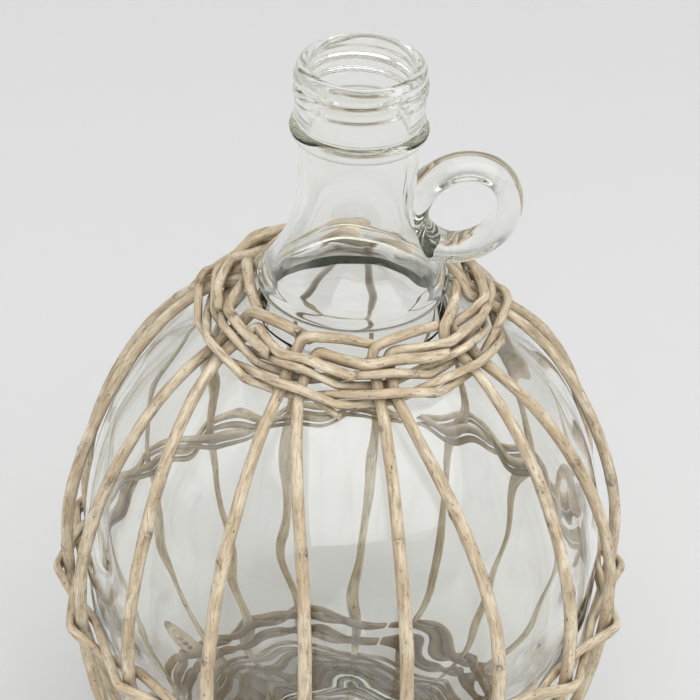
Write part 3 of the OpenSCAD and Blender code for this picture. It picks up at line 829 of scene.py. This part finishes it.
def round_route(i):
    """One round of the floor. Its two ends meet with a small gap, at another bearing in each round."""
    gap, start, flat = 0.02, i * 1.37, 1.25
    route = []
    for q in np.linspace(gap, 2 * pairs - gap, 2 * pairs * 8) + start:
        under = 0.5 + 0.5 * max(-1, min(1, flat * math.cos(math.pi * (q + i))))
        route.append(rod_point(stake_between(q), round_levels[i], rod_gap + weaver_r + round_swing * under, weaver_r))
    return route


for half, name in enumerate(("base_rounds_upper", "base_rounds_lower")):
    routes = [round_route(i) for i in range(half, len(round_levels), 2)]
    rod = willow_piece(
        name + "_rods", routes, bend=1.5, step=1.5, sides=10, wander=0.1, node_gap=60, seed=110 + half,
    )
    for point in rod.data.vertices:
        point.co.z = max(0.0, point.co.z)
    rod.data.materials.append(floor_willow_painted_shade)
    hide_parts(name)
    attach(rod, "root")

# Base sticks: a cross of six short thick sticks in the middle of the floor, three one way over three the other.
# The stakes and the first rounds start from it.
stick_r, stick_side, cross_r = 2.0, 4.3, 18.7
for name, side_up, turned in (("base_sticks_lower", -1, False), ("base_sticks_upper", 1, True)):
    routes = []
    z = floor_top - stake_off + side_up * stick_side / 2
    for lane in (-1, 0, 1):
        half_len = math.sqrt(cross_r ** 2 - (abs(lane) * stick_side + stick_r) ** 2)
        ends = np.linspace(-half_len, half_len, 12)
        lie = [[lane * stick_side, e, z] if turned else [e, lane * stick_side, z] for e in ends]
        routes.append([(np.array(at), np.array([0, 0, 1.0]), 0.98 * stick_r) for at in lie])
    rod = willow_piece(
        name + "_rods", routes, bend=1.0, step=1.5, sides=12, wander=0.1, node_gap=22, seed=131 + side_up,
    )
    rod.data.materials.append(floor_willow_painted_shade)
    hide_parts(name)
    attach(rod, "root")

# Collar tail: the thin end of a collar rod that was left long. It comes out from under the lowest row of the collar,
# goes down to the right, and lies on the shoulder with its tip.
tail_r, tail_len, tail_slope, tail_tuck, tail_lift = 1.0, 10.0, 0.42, 2.6, 3.2
tail_drop = weaver_r + tail_r - tail_tuck
tail_bearing = collar_between(0.22)
tail_swing = math.degrees(math.atan(tail_len / skin_off(collar_u)[0])) * 0.8
tail_route = []
for share in np.linspace(0, 1, 8):
    level = collar_u - (tail_drop + tail_len * tail_slope * share) / skin_rate(collar_u)
    off = 2 * rod_gap + tail_r + tail_lift * (1 - share) ** 2
    tail_route.append(rod_point(tail_bearing + tail_swing * share, level, off, tail_r))
tail = willow_piece(
    "collar_tail_rod", [tail_route], bend=1.0, step=0.8, sides=12, wander=0.1, node_gap=9, seed=150,
)
tail.data.materials.append(weaver_willow)
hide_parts("collar_tail")
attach(tail, "root")

# Studio: a plain floor of pale paper, twelve metres wide, under soft white light. One large soft lamp stands over
# the front, and a small weak one at each side.
far = 6000
ground = mesh_piece("studio_floor", [(-far, -far, 0), (far, -far, 0), (far, far, 0), (-far, far, 0)], [(0, 1, 2, 3)])
paper, nodes, links, surface = new_material("pale_paper")
surface.inputs["Roughness"].default_value = 0.95
surface.inputs["Specular IOR Level"].default_value = 0.1
fibre = nodes.new("ShaderNodeTexNoise")
fibre.inputs["Scale"].default_value = 900
links.new(ramp(nodes, links, fibre.outputs["Fac"], 0.0, 1.0, 0.825, 0.835), surface.inputs["Base Color"])
ground.data.materials.append(paper)

room = bpy.context.scene.world or bpy.data.worlds.new("studio_air")
bpy.context.scene.world = room
room.use_nodes = True
nodes, links = room.node_tree.nodes, room.node_tree.links
nodes.clear()
way = nodes.new("ShaderNodeTexCoord")
parts = nodes.new("ShaderNodeSeparateXYZ")
links.new(way.outputs["Generated"], parts.inputs["Vector"])
air = nodes.new("ShaderNodeBackground")
links.new(ramp(nodes, links, parts.outputs["Z"], 0.0, 0.9, 0.5, 0.95), air.inputs["Color"])
air.inputs["Strength"].default_value = 0.5

# Glass shows a room that is white overhead, grey along its walls, and darkest on the side that the picture is
# taken from. Seen past the glass, the room is one pale grey.
backdrop = nodes.new("ShaderNodeBackground")
seen = nodes.new("ShaderNodeLightPath")
rising = ramp(nodes, links, parts.outputs["Z"], 0.0, 0.35, 0.42, 0.64, "SMOOTHSTEP")
in_front = ramp(nodes, links, parts.outputs["Y"], -0.7, -0.35, 1, 0, "SMOOTHSTEP")
low_down = ramp(nodes, links, parts.outputs["Z"], 0.55, 0.8, 1, 0, "SMOOTHSTEP")
dim_front = ramp(nodes, links, worked_out(nodes, links, "MULTIPLY", in_front, low_down), 0.0, 1.0, 1, 0.35)
room_shade = ramp(nodes, links, seen.outputs["Is Camera Ray"], 0.0, 1.0, 0.42, 0.72)
links.new(worked_out(nodes, links, "MULTIPLY", rising, dim_front), room_shade.node.inputs["To Min"])
links.new(room_shade, backdrop.inputs["Color"])
pick = nodes.new("ShaderNodeMixShader")
shown = seen.outputs["Is Camera Ray"]
for ray in ("Is Glossy Ray", "Is Transmission Ray"):
    shown = worked_out(nodes, links, "MAXIMUM", shown, seen.outputs[ray])
links.new(shown, pick.inputs["Fac"])
links.new(air.outputs["Background"], pick.inputs[1])
links.new(backdrop.outputs["Background"], pick.inputs[2])
links.new(pick.outputs["Shader"], nodes.new("ShaderNodeOutputWorld").inputs["Surface"])


def lamp(name, at, aim, wide, high, power):
    glow = bpy.data.lights.new(name, "AREA")
    glow.shape = "RECTANGLE"
    glow.size, glow.size_y, glow.energy = wide, high, power
    made = bpy.data.objects.new(name, glow)
    made.location = at
    made.rotation_euler = (Vector(aim) - Vector(at)).to_track_quat("-Z", "Y").to_euler()
    bpy.context.collection.objects.link(made)


bottle_middle = (0, 0, 0.12)
lamp("overhead_lamp", (0.35, -0.95, 1.7), bottle_middle, wide=3.2, high=2.8, power=43)
lamp("left_lamp", (-1.5, -0.1, 0.9), bottle_middle, wide=0.9, high=1.2, power=2.5)
lamp("right_lamp", (1.6, 0.2, 1.0), bottle_middle, wide=0.9, high=1.2, power=1)

# Light goes through many walls of glass here, and is turned back inside the thick ones.
light_paths = bpy.context.scene.cycles
light_paths.max_bounces = 24
light_paths.glossy_bounces = 20
light_paths.transmission_bounces = 24
light_paths.transparent_max_bounces = 24
bpy.context.scene.view_settings.view_transform = "Standard"
